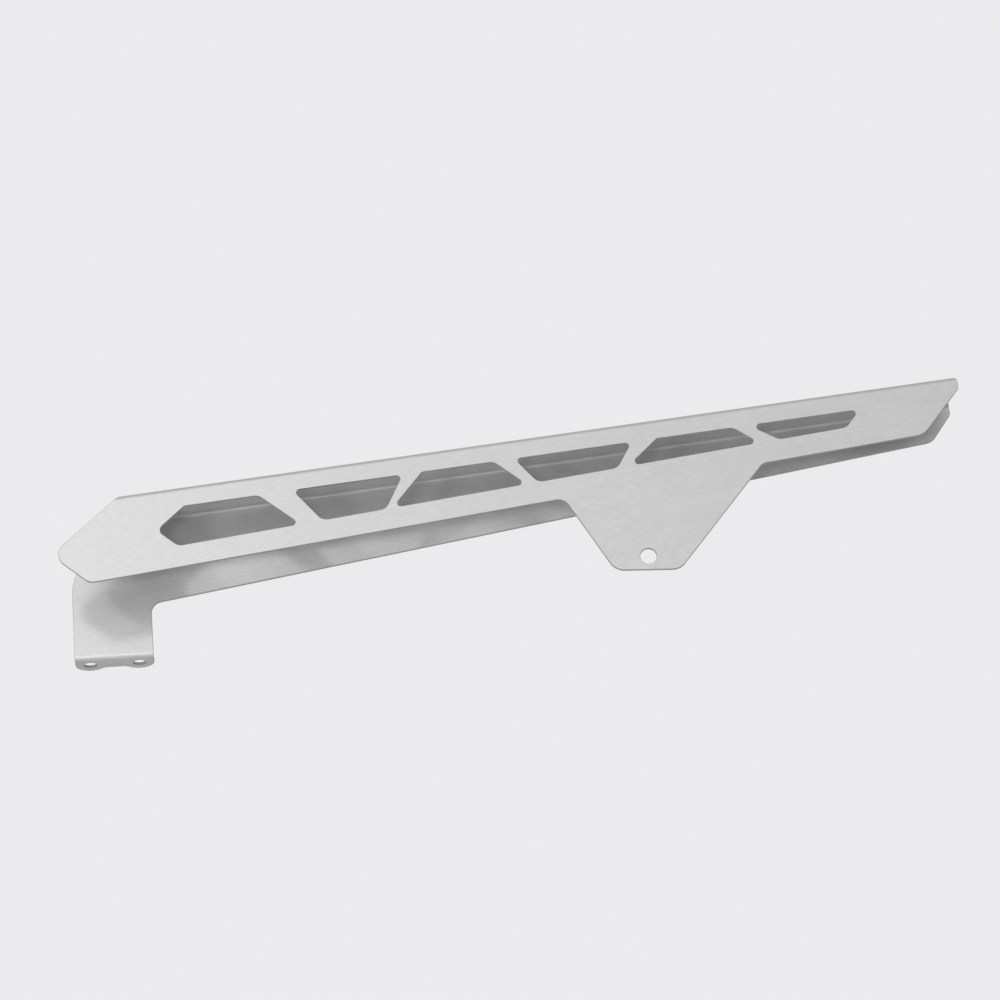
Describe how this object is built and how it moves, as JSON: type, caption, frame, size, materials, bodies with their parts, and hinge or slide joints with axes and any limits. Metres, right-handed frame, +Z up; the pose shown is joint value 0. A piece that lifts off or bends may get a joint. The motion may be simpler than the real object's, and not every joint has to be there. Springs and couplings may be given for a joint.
{
  "type": "motorcycle chain guard",
  "caption": "Chain guard folded from one sheet: a channel with a windowed outer panel and mounting tab, and an inner panel that ends in a leg with a drilled foot flange.",
  "frame": {"origin": "centre of the tab hole on the outer face of the outer panel", "axes": "+X along the guard and parallel to the foot fold, from the pointed nose to the tail; +Y from the outer panel to the inner panel, square to both; +Z up, from the open side to the top panel"},
  "size_m": [0.463, 0.0485, 0.1142],
  "materials": {
    "sheet": "fine brushed along the length, satin"
  },
  "bodies": {
    "root": {"chain_guard": "sheet"}
  },
  "joints": []
}
